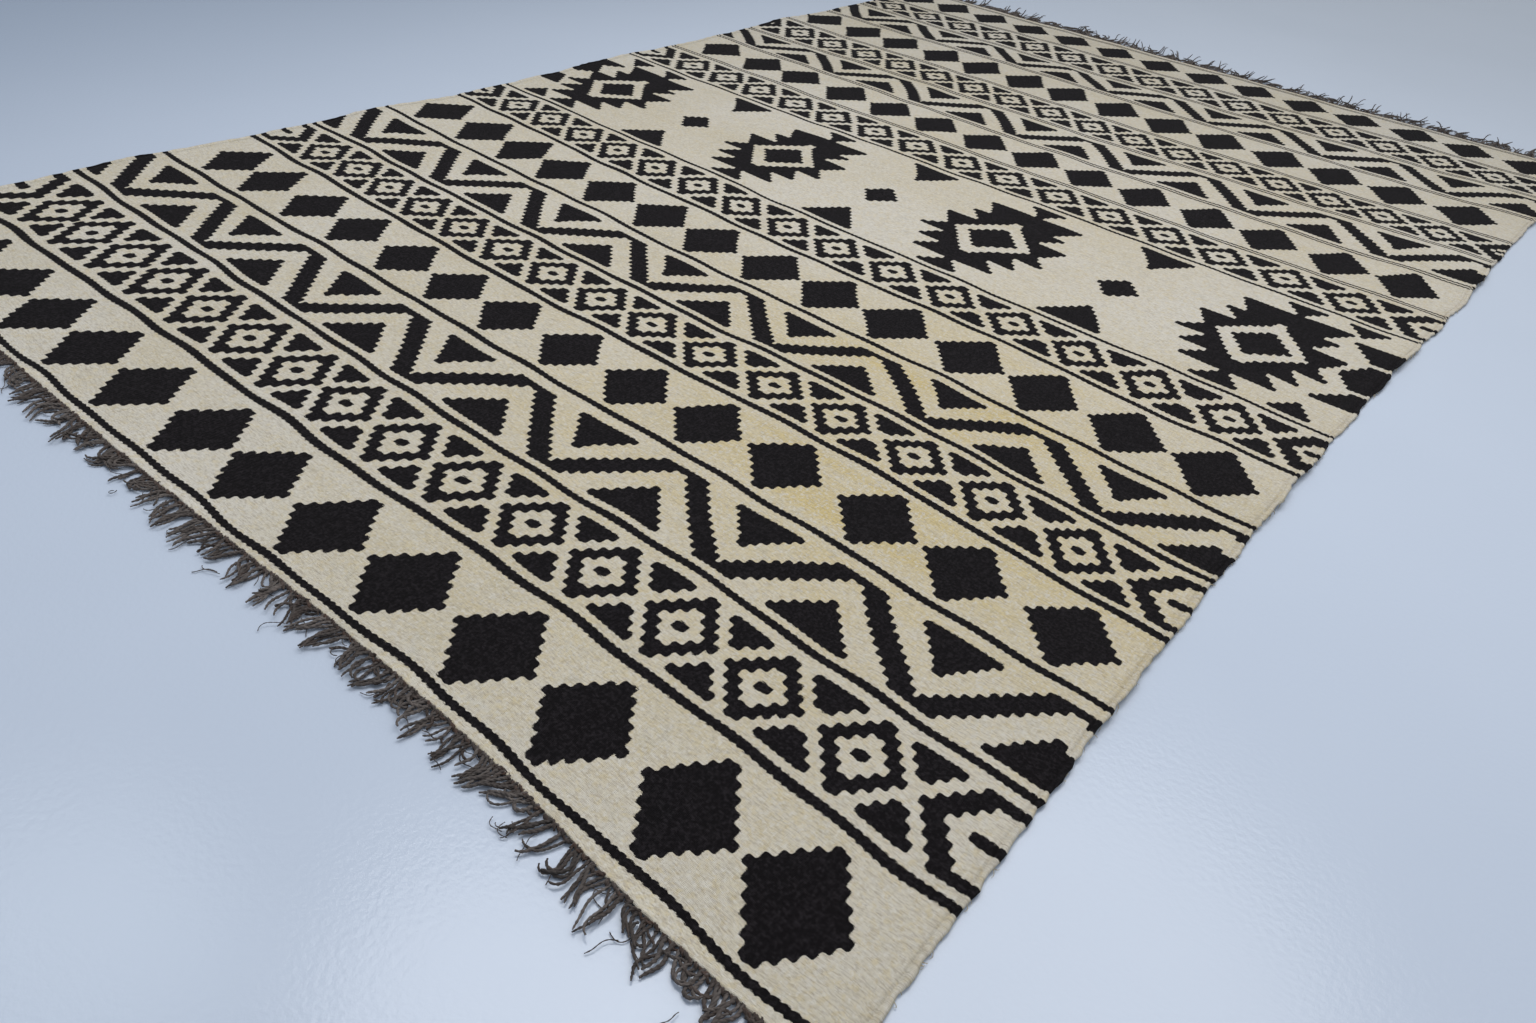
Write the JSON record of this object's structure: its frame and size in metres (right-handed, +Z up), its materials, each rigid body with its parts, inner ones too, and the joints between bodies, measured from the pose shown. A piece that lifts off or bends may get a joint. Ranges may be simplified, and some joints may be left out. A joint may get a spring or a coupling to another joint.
{
  "type": "flatwoven rug",
  "caption": "Rectangular flatwoven wool rug with fringed ends, laid flat on a floor.",
  "frame": {"origin": "on the floor, under the middle of the rug's outline", "axes": "+X across the rug along its weft, +Y along its length from the near end to the far end, +Z up"},
  "size_m": [2.0291, 3.2, 0.0115],
  "materials": {
    "woven_wool": "matt weft-faced wool, undyed cream and dark brown bands",
    "warp_yarn": "matt twisted dark brown goat-hair and wool yarn"
  },
  "bodies": {
    "root": {"cloth": "woven_wool", "fringe_near": "warp_yarn", "fringe_far": "warp_yarn"}
  },
  "joints": []
}
